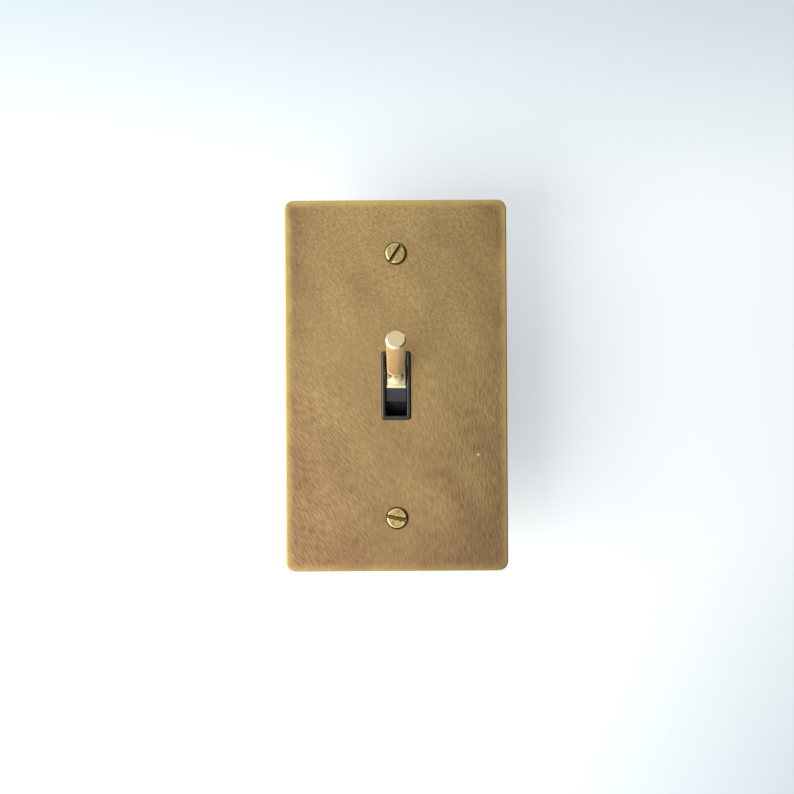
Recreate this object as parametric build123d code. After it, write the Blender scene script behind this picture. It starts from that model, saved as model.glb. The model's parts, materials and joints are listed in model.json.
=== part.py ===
import math
import os
from build123d import *

# Face plate
PLATE_W = 70.0
PLATE_H = 117.0
PLATE_T = 3.0
PLATE_CORNER_R = 3.0
PLATE_EDGE_R = 0.4
SIDE_RIM = 15.0
END_RIM = 4.0
RECESS_R = 3.0
RECESS_DEPTH = 1.3

# Box screws and their retaining washers
SCREW_PITCH = 83.3
HEAD_R = 3.2
HEAD_H = 1.4
HEAD_SINK = 0.6
HEAD_BREAK = 0.45
HEAD_CROWN = 0.15
SLOT_W = 1.2
SLOT_DEPTH = 1.0
SLOT_TURNS = (55.7, -12.0)
THREAD_R = 1.75
NECK_RELIEF = 0.35
THREAD_START = 1.4
SCREW_TIP = 20.0
TIP_BREAK = 0.6
RETAINER_R = 4.2
RETAINER_T = 0.8

# Strap, studs and nuts
STRAP_T = 1.2
STRAP_W = 24.0
PLASTER_EAR_R = 6.5
SCORE_W = 0.8
SCORE_DEPTH = 0.4
STRAP_SIDE_GAP = 3.0
STRAP_END_GAP = 2.0
STRAP_R = 2.5
OVAL_W = 4.2
OVAL_L = 6.4
STUD_X = 7.5
STUD_CLEAR = 4.6
STUD_R = 1.5
STUD_L = 5.6
STUD_BREAK = 0.3
WASHER_R = 3.0
WASHER_T = 0.5
NUT_ACROSS = 5.5
NUT_T = 2.4

# Earth tab and screw
TAB_CLEAR = 2.0
TAB_W = 9.0
TAB_REACH = 9.0
TAB_SCREW_Y = 4.6
EARTH_R = 1.75
EARTH_L = 5.0
EARTH_HEAD_R = 3.6
EARTH_HEAD_H = 2.2

# Collar and front cover
COLLAR_W = 9.2
COLLAR_H = 21.5
COLLAR_R = 0.9
COLLAR_PROUD = 0.6
BAR = 1.25
BAR_OUTER_ROUND = 0.55
BAR_INNER_ROUND = 0.45
COVER_T = 2.5
COLLAR_IN_R = 0.45

# Housing
HOUSING_W = 33.0
HOUSING_H = 58.0
HOUSING_R = 2.5
HOUSING_EDGE = 1.0
CAVITY_W = 17.0
CAVITY_H = 27.0
FLOOR_T = 2.5
SIDE_WALL = 2.0
RIVET_X = 11.0
RIVET_Z = 22.0
RIVET_R = 1.5
RIVET_HEAD_R = 2.6
RIVET_HEAD_H = 1.2
RIVET_SINK_R = 2.4
RIVET_SINK_H = 0.8
PANEL_W = 22.0
PANEL_H = 36.0
PANEL_DEPTH = 0.8

# Lever and drum, laid out with the lever straight ahead
PIVOT_BEHIND_FACE = 10.2
LEVER_TILT = 18.5
DRUM_R = 9.6
DRUM_SIDE_GAP = 0.27
DRUM_BACK = 1.2
FOOT_LOW = 3.85
FOOT_HIGH = 3.0
FOOT_BACK = 7.2
FOOT_FRONT = 9.8
FOOT_BREAK = 0.3
SPIGOT_R = 1.5
SPIGOT_END = 3.0
NECK_R = 2.2
NECK_ROUND = 0.4
NECK_END = 16.4
SHANK_R = 1.2
SHANK_END = 26.0
GRIP_R = 2.88
GRIP_END = 40.2
GRIP_BREAK = 0.42
GRIP_BAND = 1.25
GRIP_PLAIN = 0.8
GRIP_LOW_BREAK = 0.35
PLAIN_DROP = 0.05
KNURL_ROUND = 25
KNURL_PITCH = 3.2
KNURL_DEPTH = 0.24
PIN_R = 1.0
PIN_EAR_T = 2.6
PIN_EAR_H = 6.4

# Sprung plunger in the drum's tail
BOSS_R = 2.75
BOSS_END = 9.5
PLUNGER_R = 1.4
PLUNGER_BACK = 6.6
PLUNGER_TIP = 14.0
SPRING_SEAT = 2.2
SPRING_R = 1.05
WIRE_R = 0.18
SPRING_TURNS = 5

# Rocker, contacts and terminals
ROCKER_W = 5.0
ROCKER_T = 0.8
ROCKER_WING = 33.0
ROCKER_SWING = 7.0
ROCKER_BEND = 6.0
ROCKER_TIP = 9.5
BEAD_R = 1.0
CONTACT_AT = 8.3
CONTACT_R = 1.6
CONTACT_T = 0.8
CONTACT_PIN_R = 0.8
CONTACT_GAP = 0.1
STOP_H = 3.2
STRIP_T = 1.0
STRIP_BEND_R = 0.9
GROOVE_DEPTH = 0.75
CRADLE_W = 3.2
CRADLE_H = 2.3
COMMON_LEG_H = 6.0
LOAD_LEG_H = 4.5
LEG_START = -3.5
TERMINAL_Z = 8.8
TERMINAL_Y = 12.5
TERMINAL_TAB_H = 8.0
TERMINAL_TAB_FRONT = 8.0
COMMON_JOG = 5.0
POCKET_MARGIN = 1.4
CLAMP_SIZE = 7.0
CLAMP_T = 1.0
TERMINAL_R = 1.9
TERMINAL_HEAD_R = 3.4
TERMINAL_HEAD_H = 2.0

# Clearances
SLIP = 0.1
RUNNING = 0.05
PRESS = 0.02
COLLAR_GAP = 0.1
STRAP_GAP = 0.2
HEAD_GAP = 0.25
STOP_GAP = 0.15
NOSE_GAP = 0.2

# Sizes and planes that follow from the values above
RECESS_W = PLATE_W - 2 * SIDE_RIM
RECESS_H = PLATE_H - 2 * END_RIM
EAR_W = RECESS_W - 2 * STRAP_SIDE_GAP
STRAP_H = RECESS_H - 2 * STRAP_END_GAP
SCREW_Z = SCREW_PITCH / 2
STUD_Z = HOUSING_H / 2 + STUD_CLEAR
STUDS = ((-STUD_X, STUD_Z), (STUD_X, -STUD_Z))
TAB_Z = -HOUSING_H / 2 - TAB_CLEAR - TAB_W / 2
FACE_Y = -PLATE_T
HEAD_SEAT = FACE_Y + HEAD_SINK
STRAP_FRONT = -RECESS_DEPTH
STRAP_BACK = STRAP_FRONT + STRAP_T
COVER_BACK = STRAP_BACK + COVER_T
COLLAR_FRONT = FACE_Y - COLLAR_PROUD
COLLAR_IN_W = COLLAR_W - 2 * BAR
COLLAR_IN_H = COLLAR_H - 2 * BAR
DRUM_W = COLLAR_IN_W - 2 * DRUM_SIDE_GAP
EAR_INNER = COLLAR_IN_W / 2
EAR_OUTER = EAR_INNER + PIN_EAR_T
WALL_X = CAVITY_W / 2 + SIDE_WALL
PIVOT_Y = FACE_Y + PIVOT_BEHIND_FACE
NOSE_R = PLUNGER_R
NOSE_REACH = PLUNGER_TIP - NOSE_R
TILT = math.radians(LEVER_TILT)
LEAN = math.radians(ROCKER_WING - ROCKER_SWING)
NOSE_STAND_OFF = NOSE_GAP + NOSE_R + ROCKER_T / 2 + NOSE_REACH * math.sin(TILT) * math.sin(LEAN)
ROCKER_Y = PIVOT_Y + NOSE_REACH * math.cos(TILT) + NOSE_STAND_OFF / math.cos(LEAN)
CRADLE_FRONT = ROCKER_Y + BEAD_R - GROOVE_DEPTH
FLOOR_Y = CRADLE_FRONT + CRADLE_H + STRIP_T
HOUSING_BACK = FLOOR_Y + FLOOR_T
KNURL_LOW = NECK_END + GRIP_PLAIN
PLAIN_R = GRIP_R - PLAIN_DROP
KNURL_TOP = GRIP_END - GRIP_BREAK - GRIP_BAND
KNURL_ROWS = 2 * round((KNURL_TOP - KNURL_LOW) / KNURL_PITCH)
KNURL_ROOT = GRIP_R - KNURL_DEPTH
CONTACT_Z = -CONTACT_AT


def block(x, y, z):
    """Box between two limits on each axis."""
    size = (x[1] - x[0], y[1] - y[0], z[1] - z[0])
    middle = (sum(x) / 2, sum(y) / 2, sum(z) / 2)
    return Pos(*middle) * Box(*size)


def slab(width, height, corner, front, back):
    """Upright plate with rounded corners, centred on the middle line."""
    plane = Plane(origin=(0, back, 0), x_dir=(1, 0, 0), z_dir=(0, -1, 0))
    return extrude(plane * RectangleRounded(width, height, corner), amount=back - front)


def rod_y(radius, front, back, x=0, z=0):
    """Round bar along Y."""
    return Pos(x, (front + back) / 2, z) * Rot(90, 0, 0) * Cylinder(radius, back - front)


def rod_x(radius, left, right, y=0, z=0):
    """Round bar along X."""
    return Pos((left + right) / 2, y, z) * Rot(0, 90, 0) * Cylinder(radius, right - left)


def turned(profile):
    """Solid of revolution about Y from (radius, y) points."""
    outline = Polyline([(r, y) for r, y in profile], close=True)
    return revolve(make_face(outline), Axis.Y, 360)


def in_lever_frame(shape):
    """Take a shape laid out straight ahead of the pivot to the lever's place at rest."""
    return Pos(0, PIVOT_Y, 0) * Rot(-LEVER_TILT, 0, 0) * shape


def mitred_strip(points, thickness):
    """Outline of a bent strip with mitred bends round a line of (y, z) points."""
    half = thickness / 2
    normals = []
    for a, b in zip(points, points[1:]):
        length = math.dist(a, b)
        normals.append(((b[1] - a[1]) / length, (a[0] - b[0]) / length))
    ends = [normals[0]] + normals + [normals[-1]]
    left = []
    right = []
    for p, n, m in zip(points, ends, ends[1:]):
        scale = half / (1 + n[0] * m[0] + n[1] * m[1])
        shift = ((n[0] + m[0]) * scale, (n[1] + m[1]) * scale)
        left.append((p[0] + shift[0], p[1] + shift[1]))
        right.append((p[0] - shift[0], p[1] - shift[1]))
    return left + right[::-1]


def make_face_plate():
    """Plate with rubbed front edges, strap recess, collar slot and sunk screw holes."""
    plate = slab(PLATE_W, PLATE_H, PLATE_CORNER_R, FACE_Y, 0)
    plate = fillet(plate.faces().sort_by(Axis.Y)[0].edges(), PLATE_EDGE_R)
    plate -= slab(RECESS_W, RECESS_H, RECESS_R, STRAP_FRONT, 0)
    slot_w = COLLAR_W + 2 * COLLAR_GAP
    slot_h = COLLAR_H + 2 * COLLAR_GAP
    plate -= slab(slot_w, slot_h, COLLAR_R + COLLAR_GAP, FACE_Y, 0)
    for side in (1, -1):
        plate -= rod_y(THREAD_R + 2 * SLIP, FACE_Y, 0, z=side * SCREW_Z)
        plate -= rod_y(HEAD_R + HEAD_GAP, FACE_Y, HEAD_SEAT, z=side * SCREW_Z)
    return plate


def make_box_screw(turn):
    """Slotted screw: broken head edge, relieved neck, full thread and chamfered tip."""
    top = HEAD_SEAT - HEAD_H
    neck = THREAD_R - NECK_RELIEF
    screw = turned([
        (0, top),
        (HEAD_R - HEAD_BREAK, top),
        (HEAD_R - HEAD_CROWN, top + HEAD_CROWN),
        (HEAD_R, top + HEAD_BREAK),
        (HEAD_R, HEAD_SEAT),
        (neck, HEAD_SEAT),
        (neck, THREAD_START - NECK_RELIEF),
        (THREAD_R, THREAD_START),
        (THREAD_R, SCREW_TIP - TIP_BREAK),
        (THREAD_R - TIP_BREAK, SCREW_TIP),
        (0, SCREW_TIP),
    ])
    slot = block((-HEAD_R, HEAD_R), (top, top + SLOT_DEPTH), (-SLOT_W / 2, SLOT_W / 2))
    return screw - Rot(0, -turn, 0) * slot


def make_box_screws():
    """The two screws, each with its slot as it was left."""
    pair = zip((1, -1), SLOT_TURNS)
    return Compound([Pos(0, 0, side * SCREW_Z) * make_box_screw(turn) for side, turn in pair])


def make_screw_retainers():
    """Fibre washers on the relieved necks, behind the strap."""
    ring = rod_y(RETAINER_R, STRAP_BACK, STRAP_BACK + RETAINER_T)
    ring -= rod_y(THREAD_R - NECK_RELIEF + RUNNING, STRAP_BACK, STRAP_BACK + RETAINER_T)
    return Compound([Pos(0, 0, side * SCREW_Z) * ring for side in (1, -1)])


def make_plate_studs():
    """Studs soldered to the recess floor."""
    back = STRAP_FRONT + STUD_L
    stud = turned([
        (0, STRAP_FRONT),
        (STUD_R, STRAP_FRONT),
        (STUD_R, back - STUD_BREAK),
        (STUD_R - STUD_BREAK, back),
        (0, back),
    ])
    return Compound([Pos(x, 0, z) * stud for x, z in STUDS])


def make_stud_washers():
    """Flat washers under the stud nuts."""
    ring = rod_y(WASHER_R, STRAP_BACK, STRAP_BACK + WASHER_T)
    ring -= rod_y(STUD_R + SLIP, STRAP_BACK, STRAP_BACK + WASHER_T)
    return Compound([Pos(x, 0, z) * ring for x, z in STUDS])


def make_stud_nuts():
    """Hexagon nuts on the studs."""
    front = STRAP_BACK + WASHER_T
    plane = Plane(origin=(0, front + NUT_T, 0), x_dir=(1, 0, 0), z_dir=(0, -1, 0))
    nut = extrude(plane * RegularPolygon(NUT_ACROSS / 2, 6, major_radius=False), amount=NUT_T)
    nut -= rod_y(STUD_R + PRESS, front, front + NUT_T)
    return Compound([Pos(x, 0, z) * nut for x, z in STUDS])


def plaster_ear_places():
    """Centres of the four round break-off ears, as (x, z)."""
    x = EAR_W / 2 - PLASTER_EAR_R
    z = STRAP_H / 2 - PLASTER_EAR_R
    return [(side * x, end * z) for side in (1, -1) for end in (1, -1)]


def make_mounting_strap():
    """Yoke with scored break-off ears, collar window, oval screw slots and the bent earth tab."""
    strap = slab(STRAP_W, STRAP_H, STRAP_R, STRAP_FRONT, STRAP_BACK)
    for x, z in plaster_ear_places():
        strap += rod_y(PLASTER_EAR_R, STRAP_FRONT, STRAP_BACK, x, z)
    strap += slab(HOUSING_W, HOUSING_H, STRAP_R, STRAP_FRONT, STRAP_BACK)
    for x, z in plaster_ear_places():
        score_x = (x - SCORE_W / 2, x + SCORE_W / 2)
        score_z = (z - PLASTER_EAR_R, z + PLASTER_EAR_R)
        strap -= block(score_x, (STRAP_BACK - SCORE_DEPTH, STRAP_BACK), score_z)
    tab_x = (-STRAP_W / 2, -STRAP_W / 2 + STRAP_T)
    tab_z = (TAB_Z - TAB_W / 2, TAB_Z + TAB_W / 2)
    strap += block(tab_x, (STRAP_BACK, TAB_REACH), tab_z)
    strap -= rod_x(EARTH_R + PRESS, tab_x[0], tab_x[1], TAB_SCREW_Y, TAB_Z)
    window_w = COLLAR_W + 2 * STRAP_GAP
    window_h = COLLAR_H + 2 * STRAP_GAP
    strap -= slab(window_w, window_h, COLLAR_R, STRAP_FRONT, STRAP_BACK)
    plane = Plane(origin=(0, STRAP_BACK, 0), x_dir=(1, 0, 0), z_dir=(0, -1, 0))
    oval = extrude(plane * SlotOverall(OVAL_L, OVAL_W), amount=STRAP_T)
    for side in (1, -1):
        strap -= Pos(0, 0, side * SCREW_Z) * oval
    for x, z in STUDS:
        strap -= rod_y(STUD_R + SLIP, STRAP_FRONT, STRAP_BACK, x, z)
    for x, z in rivet_places():
        strap -= Pos(x, 0, z) * rivet_sink()
        strap -= rod_y(RIVET_R + RUNNING, STRAP_FRONT, STRAP_BACK, x, z)
    return strap


def make_earth_screw():
    """Binding screw on the earth tab."""
    face = -STRAP_W / 2
    screw = rod_x(EARTH_HEAD_R, face - EARTH_HEAD_H, face, TAB_SCREW_Y, TAB_Z)
    screw = chamfer(screw.edges().sort_by(Axis.X)[0], HEAD_BREAK)
    screw += rod_x(EARTH_R, face, face + EARTH_L, TAB_SCREW_Y, TAB_Z)
    middle = TAB_SCREW_Y
    half = SLOT_W / 2
    slot_x = (face - EARTH_HEAD_H, face - EARTH_HEAD_H + SLOT_DEPTH)
    slot_z = (TAB_Z - EARTH_HEAD_R, TAB_Z + EARTH_HEAD_R)
    return screw - block(slot_x, (middle - half, middle + half), slot_z)


def rivet_places():
    """Places of the four rivets, as (x, z)."""
    return [(x * RIVET_X, z * RIVET_Z) for x in (1, -1) for z in (1, -1)]


def rivet_sink():
    """Countersink that a rivet's front head sits in."""
    return turned([
        (0, STRAP_FRONT),
        (RIVET_SINK_R + RUNNING, STRAP_FRONT),
        (RIVET_R + RUNNING, STRAP_FRONT + RIVET_SINK_H),
        (0, STRAP_FRONT + RIVET_SINK_H),
    ])


def make_strap_rivets():
    """Rivets through strap, cover and housing, flush in front and domed behind."""
    rivet = turned([
        (0, STRAP_FRONT),
        (RIVET_SINK_R, STRAP_FRONT),
        (RIVET_R, STRAP_FRONT + RIVET_SINK_H),
        (RIVET_R, HOUSING_BACK),
        (RIVET_HEAD_R, HOUSING_BACK),
        (RIVET_HEAD_R, HOUSING_BACK + RIVET_HEAD_H / 2),
        (RIVET_R, HOUSING_BACK + RIVET_HEAD_H),
        (0, HOUSING_BACK + RIVET_HEAD_H),
    ])
    return Compound([Pos(x, 0, z) * rivet for x, z in rivet_places()])


def make_collar_cover():
    """Crowned collar round the drum's window, the flange behind the strap and two pin ears."""
    collar = slab(COLLAR_W, COLLAR_H, COLLAR_R, COLLAR_FRONT, COVER_BACK)
    collar = fillet(collar.faces().sort_by(Axis.Y)[0].edges(), BAR_OUTER_ROUND)
    window = slab(COLLAR_IN_W, COLLAR_IN_H, COLLAR_IN_R, COLLAR_FRONT, COVER_BACK)
    collar -= window
    rim = collar.faces().filter_by(Plane.XZ).sort_by(Axis.Y)[0]
    collar = fillet(rim.inner_wires()[0].edges(), BAR_INNER_ROUND)
    cover = slab(HOUSING_W, HOUSING_H, HOUSING_R, STRAP_BACK, COVER_BACK) - window
    cover += collar
    for side in (1, -1):
        x = sorted((side * EAR_INNER, side * EAR_OUTER))
        ear = block(x, (COVER_BACK, PIVOT_Y), (-PIN_EAR_H / 2, PIN_EAR_H / 2))
        ear += rod_x(PIN_EAR_H / 2, x[0], x[1], PIVOT_Y)
        cover += ear & block(x, (COVER_BACK, PIVOT_Y + PIN_EAR_H), (-PIN_EAR_H, PIN_EAR_H))
    cover -= rod_x(PIN_R + PRESS, -EAR_OUTER, EAR_OUTER, PIVOT_Y)
    for x, z in rivet_places():
        cover -= rod_y(RIVET_R + RUNNING, STRAP_BACK, COVER_BACK, x, z)
    return cover


def make_pivot_pin():
    """Pin held in the cover's ears."""
    return rod_x(PIN_R, -EAR_OUTER, EAR_OUTER, PIVOT_Y)


def make_toggle_drum():
    """Drum with the seat for the lever foot in front and the plunger's tail behind."""
    half = DRUM_W / 2
    drum = rod_x(DRUM_R, -half, half)
    drum -= block((-DRUM_W, DRUM_W), (DRUM_BACK, 2 * DRUM_R), (-2 * DRUM_R, 2 * DRUM_R))
    drum += rod_y(BOSS_R, 0, BOSS_END)
    drum -= rod_y(PLUNGER_R + RUNNING, SPRING_SEAT, BOSS_END)
    drum -= block((-half, half), (-DRUM_R, -FOOT_BACK), (-FOOT_LOW, FOOT_HIGH))
    drum -= rod_y(SPIGOT_R + PRESS, -FOOT_BACK, -SPIGOT_END)
    drum -= rod_x(PIN_R + RUNNING, -half, half)
    return in_lever_frame(drum)


def make_lever_foot():
    """Square foot, its spigot into the drum, the neck and the shank inside the grip."""
    x = (-DRUM_W / 2, DRUM_W / 2)
    foot = block(x, (-FOOT_FRONT, -FOOT_BACK), (-FOOT_LOW, FOOT_HIGH))
    foot = chamfer(foot.faces().sort_by(Axis.Y)[0].edges(), FOOT_BREAK)
    foot += rod_y(NECK_R, -NECK_END, -FOOT_FRONT)
    corner = foot.edges().filter_by(GeomType.CIRCLE).sort_by(Axis.Y)[-1]
    foot = fillet(corner, NECK_ROUND)
    foot += rod_y(SPIGOT_R, -FOOT_BACK, -SPIGOT_END)
    foot += rod_y(SHANK_R, -SHANK_END, -NECK_END)
    return in_lever_frame(foot)


def knurl_point(row, place, radius):
    """Point of the knurl's grid, with rows along the grip and places round it."""
    turn = math.pi * place / KNURL_ROUND
    reach = KNURL_LOW + (KNURL_TOP - KNURL_LOW) * row / KNURL_ROWS
    return (radius * math.cos(turn), -reach, radius * math.sin(turn))


def facet(corners):
    """Flat face through its corners."""
    return Face(Wire.make_polygon([Vector(*corner) for corner in corners], close=True))


def diamond(row, place):
    """Facets that rise from the crossing grooves to the peak of one diamond."""
    inside = 0 < row < KNURL_ROWS
    peak = knurl_point(row, place, GRIP_R if inside else KNURL_ROOT)
    spots = [(row, place - 1), (row + 1, place), (row, place + 1), (row - 1, place)]
    facets = []
    for a, b in zip(spots, spots[1:] + spots[:1]):
        if 0 <= min(a[0], b[0]) and max(a[0], b[0]) <= KNURL_ROWS:
            low = [knurl_point(*spot, KNURL_ROOT) for spot in (a, b)]
            facets.append(facet([peak] + low))
    return facets


def make_knurl():
    """Diamond knurl as one faceted solid, closed by a flat polygon at each end."""
    places = 2 * KNURL_ROUND
    facets = []
    for row in range(KNURL_ROWS + 1):
        for place in range((row + 1) % 2, places, 2):
            facets += diamond(row, place)
    for row in (0, KNURL_ROWS):
        facets.append(facet([knurl_point(row, place, KNURL_ROOT) for place in range(places)]))
    return Solid(Shell(facets))


def make_lever_grip():
    """Knurled grip with a plain end and band, broken edges and a blind hole for the shank."""
    low = -NECK_END
    top = -GRIP_END
    grip = make_knurl()
    grip += turned([
        (0, low),
        (PLAIN_R - GRIP_LOW_BREAK, low),
        (PLAIN_R, low - GRIP_LOW_BREAK),
        (PLAIN_R, -KNURL_LOW),
        (0, -KNURL_LOW),
    ])
    grip += turned([
        (0, -KNURL_TOP),
        (GRIP_R, -KNURL_TOP),
        (GRIP_R, top + GRIP_BREAK),
        (GRIP_R - GRIP_BREAK, top),
        (0, top),
    ])
    grip -= rod_y(SHANK_R + PRESS, -SHANK_END - SLIP, low)
    return in_lever_frame(grip)


def make_plunger():
    """Plunger with a ball nose."""
    plunger = rod_y(PLUNGER_R, PLUNGER_BACK, NOSE_REACH)
    plunger += Pos(0, NOSE_REACH, 0) * Sphere(NOSE_R)
    return in_lever_frame(plunger)


def make_plunger_spring():
    """Coil spring between the drum and the plunger."""
    length = PLUNGER_BACK - SPRING_SEAT - 2 * WIRE_R
    path = Helix(length / SPRING_TURNS, length, SPRING_R)
    wire = Plane(path @ 0, z_dir=path % 0) * Circle(WIRE_R)
    coil = sweep(wire, path)
    return in_lever_frame(Pos(0, SPRING_SEAT + WIRE_R, 0) * Rot(-90, 0, 0) * coil)


def rocker_line():
    """Middle line of the rocker strip about its own axis, as (y, z)."""
    bend_y = -ROCKER_BEND * math.tan(math.radians(ROCKER_WING))
    tip_y = bend_y - (ROCKER_TIP - ROCKER_BEND) * math.tan(math.radians(ROCKER_SWING))
    half = [(0, 0), (bend_y, ROCKER_BEND), (tip_y, ROCKER_TIP)]
    return [(y, -z) for y, z in half[:0:-1]] + half


def in_rocker_frame(shape):
    """Take a shape laid out about the rocker's axis to its place at rest."""
    return Pos(0, ROCKER_Y, 0) * Rot(ROCKER_SWING, 0, 0) * shape


def rocker_tip_back():
    """Distance from the rocker's axis to the back of its closed tip at rest."""
    bend_y, bend_z = rocker_line()[1]
    turn = math.radians(ROCKER_SWING)
    return bend_y * math.cos(turn) - bend_z * math.sin(turn) + ROCKER_T / 2


def make_contact_rocker():
    """Bent strip with a bead at its middle and a hole for the moving contact."""
    outline = make_face(Polyline(mitred_strip(rocker_line(), ROCKER_T), close=True))
    half = ROCKER_W / 2
    strip = extrude(Plane.YZ * outline, amount=half, both=True)
    strip += rod_x(BEAD_R, -half, half)
    rocker = in_rocker_frame(strip)
    back = ROCKER_Y + rocker_tip_back()
    return rocker - rod_y(CONTACT_PIN_R + PRESS, back - 2 * ROCKER_T, back, z=CONTACT_Z)


def make_moving_contact():
    """Silver rivet on the rocker's lower tip."""
    back = ROCKER_Y + rocker_tip_back()
    head = rod_y(CONTACT_R, back, back + CONTACT_T, z=CONTACT_Z)
    return head + rod_y(CONTACT_PIN_R, back - ROCKER_T, back, z=CONTACT_Z)


def load_strip_front():
    """Front of the strip that carries the fixed contact."""
    return ROCKER_Y + rocker_tip_back() + 2 * CONTACT_T + CONTACT_GAP


def make_fixed_contact():
    """Silver rivet on the load terminal."""
    front = load_strip_front()
    head = rod_y(CONTACT_R, front - CONTACT_T, front, z=CONTACT_Z)
    return head + rod_y(CONTACT_PIN_R, front, front + STRIP_T, z=CONTACT_Z)


def terminal_tab(z, back):
    """Flat tab outside the housing's wall, tapped for its screw."""
    x = (WALL_X, WALL_X + STRIP_T)
    half = TERMINAL_TAB_H / 2
    tab = block(x, (TERMINAL_TAB_FRONT, back), (z - half, z + half))
    return tab - rod_x(TERMINAL_R + PRESS, x[0], x[1], TERMINAL_Y, z)


def round_bend(strip):
    """Round the outer corner where a strip is bent outside the wall."""
    outer = strip.edges().filter_by(Axis.Z).group_by(Axis.X)[-1]
    return fillet(outer.group_by(Axis.Y)[-1], STRIP_BEND_R)


def make_load_terminal():
    """Strip from the fixed contact through the wall to its screw tab."""
    front = load_strip_front()
    back = front + STRIP_T
    z = CONTACT_Z
    leg_z = (z - LOAD_LEG_H / 2, z + LOAD_LEG_H / 2)
    strip = block((LEG_START, WALL_X + STRIP_T), (front, back), leg_z)
    strip = round_bend(strip + terminal_tab(-TERMINAL_Z, back))
    return strip - rod_y(CONTACT_PIN_R + PRESS, front, back, z=z)


def make_common_terminal():
    """Strip with the rocker's groove, led through the wall to its screw tab."""
    front = FLOOR_Y - STRIP_T
    half = COMMON_LEG_H / 2
    strip = block((LEG_START, WALL_X + STRIP_T), (front, FLOOR_Y), (-half, half))
    cradle_x = (-ROCKER_W / 2, ROCKER_W / 2)
    strip += block(cradle_x, (CRADLE_FRONT, front), (-CRADLE_W / 2, CRADLE_W / 2))
    jog_x = (WALL_X, WALL_X + STRIP_T)
    strip += block(jog_x, (FLOOR_Y - COMMON_JOG, FLOOR_Y), (-half, TERMINAL_Z))
    strip = round_bend(strip + terminal_tab(TERMINAL_Z, FLOOR_Y))
    return strip - rod_x(BEAD_R + RUNNING, cradle_x[0], cradle_x[1], ROCKER_Y)


def make_clamp_plates():
    """Square wire clamps under the terminal screws."""
    x = (WALL_X + STRIP_T, WALL_X + STRIP_T + CLAMP_T)
    half = CLAMP_SIZE / 2
    plates = []
    for z in (TERMINAL_Z, -TERMINAL_Z):
        plate = block(x, (TERMINAL_Y - half, TERMINAL_Y + half), (z - half, z + half))
        plates.append(plate - rod_x(TERMINAL_R + SLIP, x[0], x[1], TERMINAL_Y, z))
    return Compound(plates)


def make_terminal_screws():
    """Binding screws in the two tabs."""
    seat = WALL_X + STRIP_T + CLAMP_T
    top = seat + TERMINAL_HEAD_H
    screws = []
    for z in (TERMINAL_Z, -TERMINAL_Z):
        screw = rod_x(TERMINAL_HEAD_R, seat, top, TERMINAL_Y, z)
        screw = chamfer(screw.edges().sort_by(Axis.X)[-1], HEAD_BREAK)
        screw += rod_x(TERMINAL_R, WALL_X - SIDE_WALL / 2, seat, TERMINAL_Y, z)
        slot_y = (TERMINAL_Y - SLOT_W / 2, TERMINAL_Y + SLOT_W / 2)
        slot_z = (z - TERMINAL_HEAD_R, z + TERMINAL_HEAD_R)
        screws.append(screw - block((top - SLOT_DEPTH, top), slot_y, slot_z))
    return Compound(screws)


def make_housing():
    """Cup with the mechanism's cavity, stop, pedestal, side pockets and a sunk panel behind."""
    body = slab(HOUSING_W, HOUSING_H, HOUSING_R, COVER_BACK, HOUSING_BACK)
    body = chamfer(body.faces().sort_by(Axis.Y)[-1].edges(), HOUSING_EDGE)
    half_w = CAVITY_W / 2
    half_h = CAVITY_H / 2
    body -= block((-half_w, half_w), (COVER_BACK, FLOOR_Y), (-half_h, half_h))
    tip = ROCKER_Y + rocker_tip_back()
    z = CONTACT_Z
    half_leg = LOAD_LEG_H / 2
    pillar_x = (-ROCKER_W / 2, ROCKER_W / 2)
    body += block(pillar_x, (tip + STOP_GAP, FLOOR_Y), (-z - STOP_H / 2, -z + STOP_H / 2))
    strip_back = load_strip_front() + STRIP_T
    pedestal_x = (LEG_START, half_w)
    body += block(pedestal_x, (strip_back, FLOOR_Y), (z - half_leg, z + half_leg))
    body -= wall_windows()
    body -= side_pockets()
    for x, z in rivet_places():
        body -= rod_y(RIVET_R + RUNNING, COVER_BACK, HOUSING_BACK, x, z)
    return body - slab(PANEL_W, PANEL_H, HOUSING_R, HOUSING_BACK - PANEL_DEPTH, HOUSING_BACK)


def wall_windows():
    """Openings in the side wall for the two strips and their screws."""
    x = (CAVITY_W / 2, WALL_X)
    z = CONTACT_Z
    half = LOAD_LEG_H / 2 + RUNNING
    front = load_strip_front()
    cut = block(x, (front - CONTACT_T - SLIP, front + STRIP_T), (z - half, z + half))
    half = COMMON_LEG_H / 2 + RUNNING
    cut += block(x, (FLOOR_Y - STRIP_T - RUNNING, FLOOR_Y), (-half, half))
    for side in (1, -1):
        hole_x = (WALL_X - SIDE_WALL / 2 - SLIP, WALL_X)
        cut += rod_x(TERMINAL_R + SLIP, hole_x[0], hole_x[1], TERMINAL_Y, side * TERMINAL_Z)
    return cut


def side_pockets():
    """Pockets for the tabs, clamps and screws, open to the side."""
    x = (WALL_X, HOUSING_W / 2)
    reach = TERMINAL_TAB_H / 2 + POCKET_MARGIN / 2
    front = TERMINAL_TAB_FRONT - POCKET_MARGIN
    load_back = load_strip_front() + STRIP_T + RUNNING
    cut = block(x, (front, load_back), (-TERMINAL_Z - reach, -TERMINAL_Z + reach))
    cut += block(x, (front, FLOOR_Y), (TERMINAL_Z - reach, TERMINAL_Z + reach))
    jog_front = FLOOR_Y - COMMON_JOG - POCKET_MARGIN / 2
    jog_z = (-COMMON_LEG_H / 2 - RUNNING, TERMINAL_Z)
    return cut + block(x, (jog_front, FLOOR_Y), jog_z)


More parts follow.
